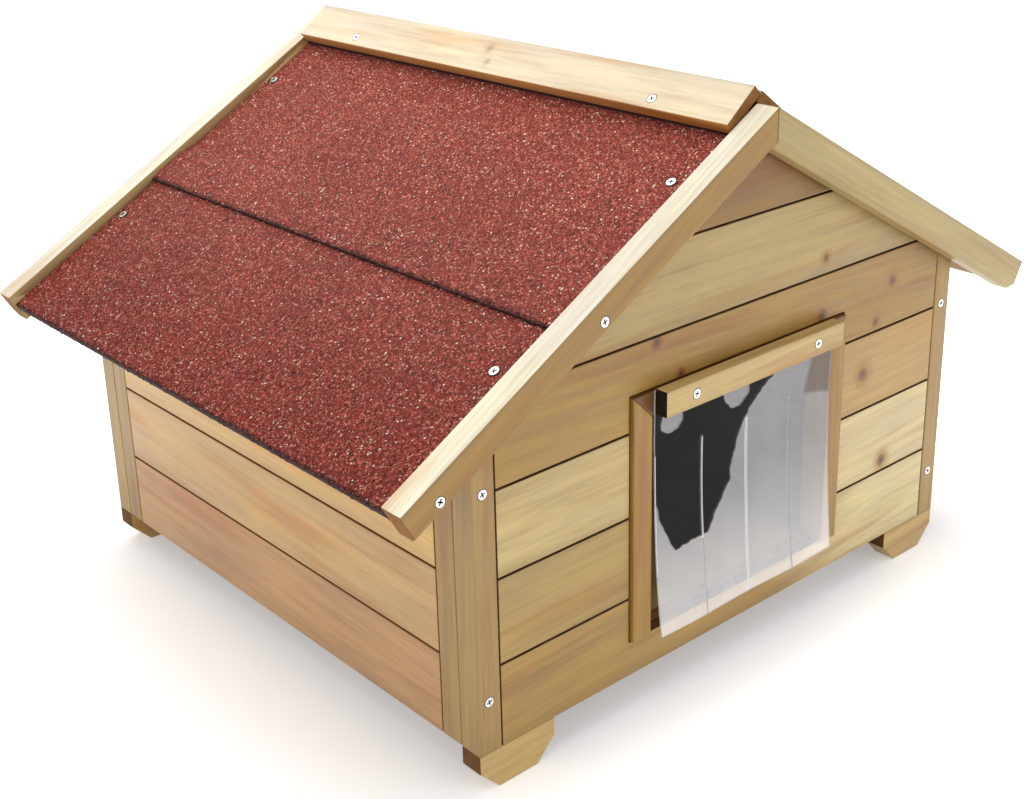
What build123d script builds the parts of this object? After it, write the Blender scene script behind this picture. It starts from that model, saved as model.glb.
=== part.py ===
from build123d import *
import os
from math import acos, atan2, ceil, cos, degrees, radians, sin, sqrt, tan

os.makedirs("parts", exist_ok=True)

# Driving dimensions in millimetres and degrees.
# The origin is on the ground, under the middle of the body; the doorway faces -Y.

# Body, measured outside the walls
body_width = 480
body_depth = 466
eaves_height = 216
frame_stock = 18
panel_joint = 0.4

# Tongued and grooved boards
board_thickness = 10
board_pitch = 60
joint_gap = 1.4
end_gap = 0.9
tongue_thickness = 3.2
tongue_height = 4.6
tongue_play = 0.2

# Cleats behind the boards
cleat_width = 24
cleat_play = 0.3

# Feet
foot_width = 63
foot_height = 28.5
foot_bevel = 15.5

# Floor
floor_thickness = 8
floor_play = 1.0
bearer_play = 0.2

# Doorway and its frame
opening_width = 182
opening_height = 161
door_frame_width = 17
door_frame_proud = 3
door_frame_play = 1.0

# Clear flap and the batten that clamps it
sheet_thickness = 1.2
flap_side_play = 0.8
flap_sill_play = 1.0
strip_count = 4
slit_width = 0.6
band_drop = 28
hinge_play = 0.3
strip_curl_radius = 1000
batten_end_play = 1.0
batten_thickness = 10
batten_raise = 1.5

# Roof, measured square to the slope from the underside of the deck
roof_pitch = 29.6
roof_seat = 0.2
deck_thickness = 10
deck_run = 338.5
verge_overhang = 4
ridge_gap = 0.3
felt_thickness = 3
felt_run = 341.5
felt_verge_play = 0.5
felt_lap_edge = 195
felt_lap = 34
felt_step = 12
felt_lap_play = 0.2

# Barge boards
barge_thickness = 18
barge_width = 24
barge_rise = 20
barge_run = 341.5
barge_bevel = 5

# Ridge cap
ridge_felt_inset = 1.0
cap_width = 34
cap_thickness = 8.5
cap_run = 16
cap_tilt = 9.5
cap_rise = 2.7
cap_play = 0.2
cap_end_play = 1.0

# Countersunk screws
screw_radius = 2.0
screw_head_radius = 3.8
screw_head_height = 2.5
screw_play = 0.1
screw_tip_bevel = 1.0
recess_span = 4.2
recess_width = 0.9
recess_depth = 1.5
long_screw_length = 30
short_screw_length = 20
wall_screw_heights = (37, 180)
foot_screw_recess = 10
roof_screw_runs = (62.5, 233)
roof_screw_front_inset = 12.5
roof_screw_rear_inset = 3.5
barge_screw_runs = (171.5, 317.5)
barge_screw_lift = 6
batten_screw_inset = 28
ridge_screw_spacing = 330
ridge_screw_edge = 8.3

# Values that follow from the driving dimensions
pitch = radians(roof_pitch)
half_width = body_width / 2
half_depth = body_depth / 2
base = foot_height
inner_half_width = half_width - frame_stock
inner_half_depth = half_depth - frame_stock
ridge_z = base + eaves_height + half_width * tan(pitch)
sill_height = frame_stock + floor_thickness
sill_z = base + sill_height
opening_top_z = sill_z + opening_height
notch_half_width = opening_width / 2 + door_frame_width + door_frame_play
notch_top_z = opening_top_z + door_frame_width + door_frame_play
door_frame_front = half_depth + door_frame_proud
deck_half_length = half_depth + verge_overhang
felt_lift = deck_thickness + felt_thickness
hinge_z = opening_top_z - band_drop
hinge_y = -(door_frame_front + sheet_thickness / 2)
flap_width = opening_width - 2 * flap_side_play
batten_length = opening_width - 2 * batten_end_play
batten_front = door_frame_front + sheet_thickness + batten_thickness


def roof_z(x, lift=0):
    """Height above the ground of a line parallel to the roof slope, lifted off the deck's underside."""
    return ridge_z + lift / cos(pitch) - abs(x) * tan(pitch)


def slope_point(side, run, lift):
    """Point in the XZ plane, at a run down one slope from the ridge and a lift square to the slope."""
    return (side * (run * cos(pitch) + lift * sin(pitch)), ridge_z - run * sin(pitch) + lift * cos(pitch))


def ridge_run(lift):
    """Run at which a layer of the roof meets the joint under the ridge."""
    return (ridge_gap - lift * sin(pitch)) / cos(pitch)


def under_roof(x_from, x_to, drop=roof_seat):
    """Outline from the bottom of the walls up to the roof, between two x positions."""
    peak = [(0, roof_z(0, -drop))] if x_from < 0 < x_to else []
    top_left = (x_from, roof_z(x_from, -drop))
    top_right = (x_to, roof_z(x_to, -drop))
    return [(x_from, base), (x_to, base), top_right, *peak, top_left]


def facing_front(y):
    """Vertical plane across the body, facing the front."""
    return Plane.XZ.offset(-y)


def save(piece, name):
    """Label a finished piece and write its file."""
    piece.part.label = name
    export_step(piece.part, f"parts/{name}.step")


def slab(outline, y_from, y_to):
    """Piece with an outline in the XZ plane and a thickness along Y."""
    with BuildPart() as piece:
        with BuildSketch(facing_front(y_to)):
            Polygon(*outline, align=None)
        extrude(amount=y_to - y_from)
    return piece


# Screws

def screw_body(length, play=0.0):
    """Countersunk screw with its head's top at the origin, or its bore if there is play."""
    with BuildPart() as body:
        top = (Align.CENTER, Align.CENTER, Align.MAX)
        Cylinder(screw_radius + play, length + play, align=top)
        Cone(screw_radius + play, screw_head_radius + play, screw_head_height + play, align=top)
    return body


def screw(length):
    """Countersunk screw with a cross recess."""
    with BuildPart() as piece:
        add(screw_body(length).part)
        with Locations((0, 0, -recess_depth / 2)):
            Box(recess_span, recess_width, recess_depth, mode=Mode.SUBTRACT)
            Box(recess_width, recess_span, recess_depth, mode=Mode.SUBTRACT)
        chamfer(piece.edges().sort_by(Axis.Z)[0], length=screw_tip_bevel)
    return piece


def set_of_screws(length, places):
    """Group of equal screws."""
    blank = screw(length)
    with BuildPart() as group:
        with Locations(*places):
            add(blank.part)
    return group


long_bore = screw_body(long_screw_length, screw_play)
short_bore = screw_body(short_screw_length, screw_play)


def drill(bore, places):
    """Cut the seats and bores of screws into the piece being built."""
    with Locations(*places):
        add(bore.part, mode=Mode.SUBTRACT)


stile_x = half_width - frame_stock / 2
wall_screw_places = [
    Plane((x, facing * half_depth, base + height), z_dir=(0, facing, 0))
    for facing in (-1, 1)
    for x in (-stile_x, stile_x)
    for height in wall_screw_heights
]
foot_screw_places = [
    Plane((x, y, foot_screw_recess), z_dir=(0, 0, -1))
    for x in (-stile_x, stile_x)
    for y in (-(half_depth - frame_stock / 2), half_depth - frame_stock / 2)
]


def roof_screw_place(side, run, y):
    """Place of a screw on the felt."""
    x, z = slope_point(side, run, felt_lift)
    return Plane((x, y, z), z_dir=(side * sin(pitch), 0, cos(pitch)))


roof_screw_rows = (-(half_depth - roof_screw_front_inset), half_depth - roof_screw_rear_inset)
roof_screw_places = [
    roof_screw_place(side, run, y) for side in (-1, 1) for run in roof_screw_runs for y in roof_screw_rows
]


def barge_screw_place(side, facing, run):
    """Place of a screw on a barge board's outer face."""
    x, z = slope_point(side, run, barge_screw_lift)
    return Plane((x, facing * (deck_half_length + barge_thickness), z), z_dir=(0, facing, 0))


barge_screw_places = [
    barge_screw_place(side, facing, run)
    for side, facing in ((-1, -1), (-1, 1), (1, 1))
    for run in barge_screw_runs
]
batten_centre_z = opening_top_z + batten_raise + frame_stock / 2
batten_screw_x = batten_length / 2 - batten_screw_inset
batten_screw_places = [
    Plane((x, -batten_front, batten_centre_z), z_dir=(0, -1, 0)) for x in (-batten_screw_x, batten_screw_x)
]


# Wall boards, each lying in its wall with its outer face on the given plane

front_face = Plane((0, -half_depth, 0), x_dir=(0, 1, 0), z_dir=(1, 0, 0))
rear_face = Plane((0, half_depth, 0), x_dir=(0, -1, 0), z_dir=(-1, 0, 0))
left_face = Plane((-half_width, 0, 0), x_dir=(1, 0, 0), z_dir=(0, -1, 0))
right_face = Plane((half_width, 0, 0), x_dir=(-1, 0, 0), z_dir=(0, 1, 0))


def wall_board(face, row, top_row, length, outline, notch=None, screws=()):
    """Board of one row, tongued above and grooved below, trimmed to its wall's outline."""
    bottom = base + (row - 1) * board_pitch
    visible_height = board_pitch - joint_gap
    groove_depth = tongue_height - joint_gap + 2 * tongue_play
    corner = (Align.MIN, Align.MIN)
    middle = (Align.CENTER, Align.MIN)
    with BuildPart() as board:
        with BuildSketch(face):
            with Locations((0, bottom)):
                Rectangle(board_thickness, visible_height, align=corner)
            if row < top_row:
                with Locations((board_thickness / 2, bottom + visible_height)):
                    Rectangle(tongue_thickness, tongue_height, align=middle)
            if row > 1:
                with Locations((board_thickness / 2, bottom)):
                    groove_width = tongue_thickness + 2 * tongue_play
                    Rectangle(groove_width, groove_depth, align=middle, mode=Mode.SUBTRACT)
        extrude(amount=length / 2, both=True)
        with BuildSketch(Plane.XZ):
            Polygon(*outline, align=None)
        extrude(amount=body_depth, both=True, mode=Mode.INTERSECT)
        if notch:
            with BuildSketch(Plane.XZ):
                Polygon(*notch, align=None)
            extrude(amount=body_depth, both=True, mode=Mode.SUBTRACT)
        if screws:
            drill(long_bore, screws)
    return board


gable_rows = ceil((ridge_z - base) / board_pitch)
gable_inside = inner_half_width - end_gap
notch = [
    (-notch_half_width, sill_z),
    (notch_half_width, sill_z),
    (notch_half_width, notch_top_z),
    (-notch_half_width, notch_top_z),
]

for row in range(1, gable_rows + 1):
    row_bottom = base + (row - 1) * board_pitch
    beside_door = row_bottom >= sill_z and row_bottom + board_pitch <= notch_top_z
    if beside_door:
        left_end = under_roof(-gable_inside, -notch_half_width)
        right_end = under_roof(notch_half_width, gable_inside)
        for side_name, end in (("left", left_end), ("right", right_end)):
            board = wall_board(front_face, row, gable_rows, body_width, end)
            save(board, f"front_board_{row}_{side_name}")
    else:
        whole = under_roof(-gable_inside, gable_inside)
        board = wall_board(front_face, row, gable_rows, body_width, whole, notch=notch)
        save(board, f"front_board_{row}")

for row in range(1, gable_rows + 1):
    whole = under_roof(-gable_inside, gable_inside)
    board = wall_board(rear_face, row, gable_rows, body_width, whole, screws=roof_screw_places)
    save(board, f"rear_board_{row}")

side_rows = ceil((roof_z(half_width - board_thickness) - base) / board_pitch)
side_panel_half_length = inner_half_depth - panel_joint
side_board_length = 2 * (side_panel_half_length - frame_stock - end_gap)
for side_name, face in (("left", left_face), ("right", right_face)):
    for row in range(1, side_rows + 1):
        whole = under_roof(-half_width, half_width)
        board = wall_board(face, row, side_rows, side_board_length, whole)
        save(board, f"{side_name}_board_{row}")


# Corner stiles of the gable panels and of the side panels

def stile(side, y_from, y_to):
    """Upright of square stock at one side of the body, cut to the roof slope."""
    x_from, x_to = sorted((side * half_width, side * inner_half_width))
    piece = slab(under_roof(x_from, x_to), y_from, y_to)
    with BuildPart() as bored:
        add(piece.part)
        drill(long_bore, wall_screw_places + foot_screw_places)
    return bored


for side, side_name in ((-1, "left"), (1, "right")):
    save(stile(side, -half_depth, -inner_half_depth), f"front_stile_{side_name}")
    save(stile(side, inner_half_depth, half_depth), f"rear_stile_{side_name}")
    near = side_panel_half_length - frame_stock
    save(stile(side, -side_panel_half_length, -near), f"{side_name}_stile_front")
    save(stile(side, near, side_panel_half_length), f"{side_name}_stile_rear")


# Cleats of the gable panels: corner, door and middle cleats upright, rake cleats under the roof

rake_drop = roof_seat + cleat_width
upright_drop = rake_drop + cleat_play


def rake_outline(side):
    """Cleat that follows the roof from the ridge to the corner stile."""
    start = side * ridge_gap
    end = side * (inner_half_width - cleat_play)
    top = [(start, roof_z(start, -roof_seat)), (end, roof_z(end, -roof_seat))]
    foot = [(end, roof_z(end, -rake_drop)), (start, roof_z(start, -rake_drop))]
    return top + foot


corner_cleats = [
    under_roof(-inner_half_width + cleat_play, -inner_half_width + cleat_play + cleat_width, upright_drop),
    under_roof(inner_half_width - cleat_play - cleat_width, inner_half_width - cleat_play, upright_drop),
]
door_cleat_rows = ceil((notch_top_z - base) / board_pitch)
door_cleat_top = base + door_cleat_rows * board_pitch - joint_gap
door_cleats = [
    [(x, base), (x + cleat_width, base), (x + cleat_width, door_cleat_top), (x, door_cleat_top)]
    for x in (-notch_half_width - cleat_width, notch_half_width)
]
sill_cleat_half = notch_half_width - cleat_play
sill_cleat = [
    (-sill_cleat_half, base),
    (sill_cleat_half, base),
    (sill_cleat_half, sill_z),
    (-sill_cleat_half, sill_z),
]
middle_cleat = under_roof(-cleat_width / 2, cleat_width / 2, upright_drop)
rakes = [rake_outline(-1), rake_outline(1)]


def cleat_group(outlines, y_from, y_to):
    """Cleats of one gable panel."""
    with BuildPart() as group:
        with BuildSketch(facing_front(y_to)):
            for outline in outlines:
                Polygon(*outline, align=None)
        extrude(amount=y_to - y_from)
        drill(long_bore, roof_screw_places)
    return group


front_cleats = corner_cleats + door_cleats + [sill_cleat] + rakes
save(cleat_group(front_cleats, -half_depth + board_thickness, -inner_half_depth), "front_cleats")
rear_cleats = corner_cleats + [middle_cleat] + rakes
save(cleat_group(rear_cleats, inner_half_depth, half_depth - board_thickness), "rear_cleats")


# Cleats of the side panels: one beside each stile and one in the middle

side_cleat_end = side_panel_half_length - frame_stock - cleat_play - cleat_width / 2
with BuildPart() as side_cleats:
    for side in (-1, 1):
        x_from, x_to = sorted((side * (half_width - board_thickness), side * inner_half_width))
        for y in (-side_cleat_end, 0, side_cleat_end):
            with BuildSketch(facing_front(y + cleat_width / 2)):
                Polygon(*under_roof(x_from, x_to), align=None)
            extrude(amount=cleat_width)
save(side_cleats, "side_cleats")


# Floor panel on three bearers

bearer_x = inner_half_width - bearer_play - frame_stock / 2
with BuildPart() as floor_bearers:
    with Locations(*[(x, 0, base) for x in (-bearer_x, 0, bearer_x)]):
        length = 2 * (inner_half_depth - bearer_play)
        Box(frame_stock, length, frame_stock, align=(Align.CENTER, Align.CENTER, Align.MIN))
save(floor_bearers, "floor_bearers")

with BuildPart() as floor_panel:
    with Locations((0, 0, base + frame_stock)):
        width = 2 * (inner_half_width - floor_play)
        length = 2 * (inner_half_depth - floor_play)
        Box(width, length, floor_thickness, align=(Align.CENTER, Align.CENTER, Align.MIN))
save(floor_panel, "floor_panel")


# Feet under the corners of the gable panels

with BuildPart() as feet:
    for y_to in (-inner_half_depth, half_depth):
        with BuildSketch(facing_front(y_to)) as foot_outlines:
            with Locations(*[(side * (half_width - foot_width / 2), 0) for side in (-1, 1)]):
                Rectangle(foot_width, foot_height, align=(Align.CENTER, Align.MIN))
            low_corners = foot_outlines.vertices().group_by(Axis.Y)[0]
            chamfer(low_corners, length=foot_bevel)
        extrude(amount=frame_stock)
    drill(long_bore, foot_screw_places)
    with Locations(*foot_screw_places):
        recess_radius = screw_head_radius + screw_play
        up_to_head = (Align.CENTER, Align.CENTER, Align.MIN)
        Cylinder(recess_radius, foot_screw_recess, align=up_to_head, mode=Mode.SUBTRACT)
save(feet, "feet")


# Door frame, mitred at its upper corners and standing a little proud of the boards

opening_half = opening_width / 2
frame_half = opening_half + door_frame_width
frame_top_z = opening_top_z + door_frame_width
for side, side_name in ((-1, "left"), (1, "right")):
    jamb = [
        (side * frame_half, sill_z),
        (side * opening_half, sill_z),
        (side * opening_half, opening_top_z),
        (side * frame_half, frame_top_z),
    ]
    save(slab(jamb, -door_frame_front, -inner_half_depth), f"door_jamb_{side_name}")

head = [
    (-frame_half, frame_top_z),
    (-opening_half, opening_top_z),
    (opening_half, opening_top_z),
    (frame_half, frame_top_z),
]
head_blank = slab(head, -door_frame_front, -inner_half_depth)
with BuildPart() as door_head:
    add(head_blank.part)
    drill(short_bore, batten_screw_places)
save(door_head, "door_head")

with BuildPart() as flap_batten:
    with Locations((0, -batten_front, batten_centre_z)):
        front_edge = (Align.CENTER, Align.MIN, Align.CENTER)
        Box(batten_length, batten_thickness, frame_stock, align=front_edge)
    drill(short_bore, batten_screw_places)
save(flap_batten, "flap_batten")


# Clear flap: a band clamped behind the batten, and the strips that hang below it

batten_top_z = batten_centre_z + frame_stock / 2
band_bottom_z = hinge_z + sheet_thickness / 2 + hinge_play
with BuildPart() as flap_band:
    with Locations((0, hinge_y, band_bottom_z)):
        standing = (Align.CENTER, Align.CENTER, Align.MIN)
        Box(flap_width, sheet_thickness, batten_top_z - band_bottom_z, align=standing)
    drill(short_bore, batten_screw_places)
save(flap_band, "flap_band")

strip_pitch = flap_width / strip_count
strip_width = strip_pitch - slit_width
strip_length = hinge_z - sill_z - flap_sill_play
strip_arc = degrees(strip_length / strip_curl_radius)
for number in range(1, strip_count + 1):
    strip_left = -flap_width / 2 + (number - 1) * strip_pitch + slit_width / 2
    hinge_plane = Plane((strip_left, hinge_y, hinge_z), x_dir=(0, 1, 0), z_dir=(1, 0, 0))
    with BuildPart() as strip:
        with BuildSketch(hinge_plane):
            with BuildLine():
                inside_radius = strip_curl_radius - sheet_thickness / 2
                outside_radius = strip_curl_radius + sheet_thickness / 2
                curl_centre = (-strip_curl_radius, 0)
                inside = CenterArc(curl_centre, inside_radius, -strip_arc, strip_arc)
                outside = CenterArc(curl_centre, outside_radius, -strip_arc, strip_arc)
                Line(inside @ 0, outside @ 0)
                Line(inside @ 1, outside @ 1)
            make_face()
            Circle(sheet_thickness / 2)
        extrude(amount=strip_width)
    save(strip, f"flap_strip_{number}")


# Roof: deck, felt in two courses, barge boards and ridge cap

deck_outline = [(ridge_run(0), 0), (ridge_run(deck_thickness), deck_thickness)]
deck_outline += [(deck_run, deck_thickness), (deck_run, 0)]

lap_start = felt_lap_edge - felt_lap
raised_lift = felt_lift + felt_lap_play
lower_felt_outline = [(lap_start, deck_thickness), (lap_start, felt_lift)]
lower_felt_outline += [(felt_run, felt_lift), (felt_run, deck_thickness)]

step_start = lap_start - felt_step
upper_felt_outline = [
    (ridge_run(deck_thickness), deck_thickness),
    (ridge_run(felt_lift), felt_lift),
    (step_start, felt_lift),
    (lap_start, raised_lift + felt_thickness),
    (felt_lap_edge, raised_lift + felt_thickness),
    (felt_lap_edge, raised_lift),
    (lap_start - felt_lap_play, raised_lift),
    (step_start, deck_thickness),
]


def roof_layer(side, outline, half_length, name, screws):
    """Layer of one roof slope, from runs and lifts, with the screws that pass through it."""
    corners = [slope_point(side, run, lift) for run, lift in outline]
    blank = slab(corners, -half_length, half_length)
    with BuildPart() as layer:
        add(blank.part)
        for bore, places in screws:
            drill(bore, places)
    save(layer, name)


ridge_felt_lift = felt_lift + felt_thickness
cap_foot_lift = ridge_felt_lift + cap_play
cap_lean = pitch + radians(cap_tilt)
left_cap_foot = Vector(*slope_point(-1, cap_run, cap_foot_lift))
left_cap_along = Vector(cos(cap_lean), sin(cap_lean))
left_cap_normal = Vector(-sin(cap_lean), cos(cap_lean))
left_cap_head = left_cap_foot + left_cap_along * cap_width

# The right ridge board butts against the left one's lower head corner and rests on its own foot,
# so its tilt follows from that corner, in runs and lifts of the right slope.
head_run = left_cap_head.X * cos(pitch) - (left_cap_head.Y - ridge_z) * sin(pitch)
head_lift = left_cap_head.X * sin(pitch) + (left_cap_head.Y - ridge_z) * cos(pitch)
below_head = cap_thickness - cap_rise
reach = sqrt(below_head**2 + cap_width**2)
right_tilt = atan2(cap_width, below_head) - acos((head_lift - cap_foot_lift) / reach)
right_cap_lean = pitch + right_tilt
right_cap_along = Vector(-cos(right_cap_lean), sin(right_cap_lean))
right_cap_normal = Vector(sin(right_cap_lean), cos(right_cap_lean))
right_cap_head = left_cap_head - right_cap_normal * below_head - right_cap_along * cap_play
right_cap_foot = right_cap_head - right_cap_along * cap_width
right_cap_run = head_run - below_head * sin(right_tilt) + cap_width * cos(right_tilt)


ridge_screw_rows = (-ridge_screw_spacing / 2, ridge_screw_spacing / 2)


def ridge_screw_row(foot, along, normal):
    """Places of the screws on top of one ridge board."""
    point = foot + along * ridge_screw_edge + normal * cap_thickness
    return [Plane((point.X, y, point.Y), z_dir=(normal.X, 0, normal.Y)) for y in ridge_screw_rows]


ridge_screw_places = ridge_screw_row(left_cap_foot, left_cap_along, left_cap_normal)
ridge_screw_places += ridge_screw_row(right_cap_foot, right_cap_along, right_cap_normal)

roof_bores = [
    (long_bore, roof_screw_places + barge_screw_places),
    (short_bore, ridge_screw_places),
]
felt_half_length = deck_half_length - felt_verge_play
for side, side_name in ((-1, "left"), (1, "right")):
    roof_layer(side, deck_outline, deck_half_length, f"roof_deck_{side_name}", roof_bores)
    roof_layer(side, lower_felt_outline, felt_half_length, f"felt_{side_name}_lower", roof_bores)
    roof_layer(side, upper_felt_outline, felt_half_length, f"felt_{side_name}_upper", roof_bores)

left_felt_end = cap_run - ridge_felt_inset
right_felt_end = right_cap_run - ridge_felt_inset
ridge_felt_outline = [
    slope_point(-1, left_felt_end, felt_lift),
    slope_point(-1, left_felt_end, ridge_felt_lift),
    (0, roof_z(0, ridge_felt_lift)),
    slope_point(1, right_felt_end, ridge_felt_lift),
    slope_point(1, right_felt_end, felt_lift),
    (0, roof_z(0, felt_lift)),
]
ridge_felt_blank = slab(ridge_felt_outline, -felt_half_length, felt_half_length)
with BuildPart() as felt_ridge:
    add(ridge_felt_blank.part)
    drill(short_bore, ridge_screw_places)
save(felt_ridge, "felt_ridge")

cap_half_length = deck_half_length - cap_end_play
ridge_boards = [
    ("left", left_cap_foot, left_cap_along, left_cap_normal),
    ("right", right_cap_foot, right_cap_along, right_cap_normal),
]
for side_name, foot, along, normal in ridge_boards:
    head = foot + along * cap_width
    corners = [foot, head, head + normal * cap_thickness, foot + normal * cap_thickness]
    blank = slab([(corner.X, corner.Y) for corner in corners], -cap_half_length, cap_half_length)
    with BuildPart() as ridge_board:
        add(blank.part)
        drill(short_bore, ridge_screw_places)
    save(ridge_board, f"ridge_board_{side_name}")

barge_foot_lift = barge_rise - barge_width
barge_outline = [(ridge_run(barge_foot_lift), barge_foot_lift), (ridge_run(barge_rise), barge_rise)]
barge_outline += [(barge_run, barge_rise), (barge_run, barge_foot_lift)]
for facing, facing_name in ((-1, "front"), (1, "rear")):
    y_from, y_to = sorted((facing * deck_half_length, facing * (deck_half_length + barge_thickness)))
    for side, side_name in ((-1, "left"), (1, "right")):
        corners = [slope_point(side, run, lift) for run, lift in barge_outline]
        with BuildPart() as barge:
            with BuildSketch(facing_front(y_to)):
                Polygon(*corners, align=None)
            extrude(amount=y_to - y_from)
            outer_face = barge.faces().sort_by(Axis.Y)[0 if facing < 0 else -1]
            long_edges = outer_face.edges().sort_by(SortBy.LENGTH)[-2:]
            chamfer(long_edges.sort_by(Axis.Z)[0], length=barge_bevel)
            drill(long_bore, barge_screw_places)
        save(barge, f"barge_{facing_name}_{side_name}")


# Screw groups

long_screw_places = wall_screw_places + foot_screw_places + roof_screw_places + barge_screw_places
save(set_of_screws(long_screw_length, long_screw_places), "long_screws")
save(set_of_screws(short_screw_length, batten_screw_places + ridge_screw_places), "short_screws")
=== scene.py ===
import random
from math import cos, hypot, pi, radians, sin, tau

import bmesh
import bpy
from mathutils import Matrix, Vector, noise


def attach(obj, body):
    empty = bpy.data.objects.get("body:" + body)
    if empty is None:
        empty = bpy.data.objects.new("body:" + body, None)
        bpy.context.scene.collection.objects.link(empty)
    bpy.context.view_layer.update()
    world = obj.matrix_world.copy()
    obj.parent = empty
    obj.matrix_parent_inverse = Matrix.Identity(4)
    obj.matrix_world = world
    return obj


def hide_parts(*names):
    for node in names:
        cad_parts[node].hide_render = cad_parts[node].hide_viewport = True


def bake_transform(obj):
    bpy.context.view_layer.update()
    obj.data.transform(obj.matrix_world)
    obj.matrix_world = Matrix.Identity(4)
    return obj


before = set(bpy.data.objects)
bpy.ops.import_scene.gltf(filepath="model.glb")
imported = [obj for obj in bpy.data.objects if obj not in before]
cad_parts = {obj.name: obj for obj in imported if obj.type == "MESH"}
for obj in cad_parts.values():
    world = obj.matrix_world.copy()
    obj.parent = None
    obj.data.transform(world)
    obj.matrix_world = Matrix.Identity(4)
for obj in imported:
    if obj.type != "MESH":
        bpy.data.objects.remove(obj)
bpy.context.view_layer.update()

bl_info = {
    "name": "Cat shelter",
    "version": (1, 0, 0),
    "blender": (4, 5, 0),
    "location": "3D View > Sidebar > Cat Shelter",
    "description": "Dresses the packed cat shelter with wood, felt, clear strips and screws",
    "category": "Object",
}

SHELTER = "shelter"
X, Y, Z = Vector((1, 0, 0)), Vector((0, 1, 0)), Vector((0, 0, 1))

# Places on the part, in metres and radians
PITCH = radians(29.6)
RIDGE_Z = 0.38084
HALF_WIDTH = 0.240
HALF_DEPTH = 0.233
FOOT_HEIGHT = 0.0285
STILE_HALF_THICKNESS = 0.009
BARGE_FACE_Y = 0.255
FELT_LIFT = 0.013
FELT_THICKNESS = 0.003
FELT_HALF_LENGTH = 0.2365
FELT_RUNS = {"upper": (-0.0054, 0.195), "lower": (0.161, 0.3415)}
FELT_STEP_RUNS = (0.149, 0.161)
FELT_LAP_LIFT = 0.0162
RIDGE_BOARD_THICKNESS = 0.0085
BATTEN_FACE_Y = -0.2472
BATTEN_Z = (0.217, 0.235)
HINGE_Y, HINGE_Z = -0.2366, 0.1875
BAND_BOTTOM_Z = 0.1884
BAND_TOP_Z = 0.233
SHEET_THICKNESS = 0.0012
STRIP_LENGTH = 0.132
STRIP_CURL_RADIUS = 1.0
STRIP_PITCH, SLIT_WIDTH = 0.0451, 0.0006
BAND_TO_STRIP_GAP = 0.00005

# Side, lower outer edge in x and z, and lean of each ridge board
RIDGE_BOARDS = {"left": (-1, -0.02191, 0.38702, radians(39.1)), "right": (1, 0.02837, 0.38332, radians(36.82))}

# Wear of the felt, and the run of painted shade up from each course's lower edge
RAGGED_CUT = 0.0012
PRESSED_EDGE = 0.0006
EAVE_DROOP = 0.0025
SCREW_HOLLOW_RADIUS, SCREW_HOLLOW_DEPTH = 0.0075, 0.0014
EDGE_SHADE_RUN = 0.006

# Screws: head as radius and height from its rim inwards, then the shank
SCREW_HEAD = ((0.0033, 0.0), (0.0038, -0.0004), (0.0038, -0.0007), (0.0020, -0.0025))
SCREW_RADIUS, SCREW_TIP_RADIUS, SCREW_TIP_LENGTH = 0.0020, 0.0007, 0.003
RECESS_HALF_SPAN, RECESS_HALF_WIDTH, RECESS_DEPTH, RECESS_TAPER = 0.0021, 0.00048, 0.0015, 0.55
LONG_SCREW, SHORT_SCREW = 0.030, 0.020
ROOF_SCREW_RUNS, ROOF_SCREW_YS = (0.0625, 0.233), (-0.2205, 0.2295)
WALL_SCREW_HEIGHTS = (0.037, 0.180)
FOOT_SCREW_Z = 0.010
BARGE_SCREW_RUNS, BARGE_SCREW_LIFT = (0.1715, 0.3175), 0.006
BATTEN_SCREW_X = 0.062
RIDGE_SCREW_Y, RIDGE_SCREW_EDGE = 0.165, 0.0083

# Arrises that are rounded
SHARPEST_LEFT = radians(25)
SHORTEST_ROUNDED = 0.006

# Camera of the photograph
CAMERA_PLACE = (-0.73950, -0.85522, 0.62055)
CAMERA_YAW, CAMERA_DOWN, CAMERA_ROLL = radians(41.4171), radians(20.7907), radians(-1.1917)
FOCAL_PIXELS, PICTURE_PIXELS, SENSOR_WIDTH = 1535.8, 1024, 36
CAMERA_SHIFT = (-0.01833, -0.07522)

# Bloom and painted marks on the sheet, in x and z of the hanging sheet: a patch lies to the left of its lines, which
# run from one point to the next, and a spot is a place and a radius. The dark patch is painted reflection and painted
# shade, cut away at the bloom spots; the painted highlight lines are given as a slit's x and its lower end.
PAINTED_DARK_PATCH = (
    ((-0.0399, 0.1151), (-0.0164, 0.1471)),
    ((-0.0732, 0.1118), (-0.0399, 0.1151)),
    ((-0.0864, 0.1414), (-0.0732, 0.1118)),
)
BLOOM_SPOTS = ((-0.0745, 0.2085, 0.0095), (-0.011, 0.2105, 0.0125), (0.0582, 0.1423, 0.0748))
GREY_PATCH = (((0.0649, 0.1994), (0.0609, 0.1859)), ((0.0609, 0.1859), (0.0914, 0.1790)))
HIGHLIGHT_HALF_WIDTH, HIGHLIGHT_TOP_Z = 0.0006, 0.187
PAINTED_HIGHLIGHT_LINES = tuple(
    (
        ((x - HIGHLIGHT_HALF_WIDTH, 1.0), (x - HIGHLIGHT_HALF_WIDTH, 0.0)),
        ((x + HIGHLIGHT_HALF_WIDTH, 0.0), (x + HIGHLIGHT_HALF_WIDTH, 1.0)),
        ((0.0, low), (1.0, low)),
        ((1.0, HIGHLIGHT_TOP_Z), (0.0, HIGHLIGHT_TOP_Z)),
    )
    for x, low in ((-0.0902, 0.1), (-0.0451, 0.112), (0.0, 0.056)))

# Rings of a knot, as where it starts to fade and ends in knot radii, its weight and its colour
KNOT_RINGS = ((0.8, 3.2, 0.6, "#a8742c"), (0.6, 1.4, 0.8, "#80501f"), (0.1, 0.6, 0.8, "#452814"))


# Colours and nodes

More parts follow.
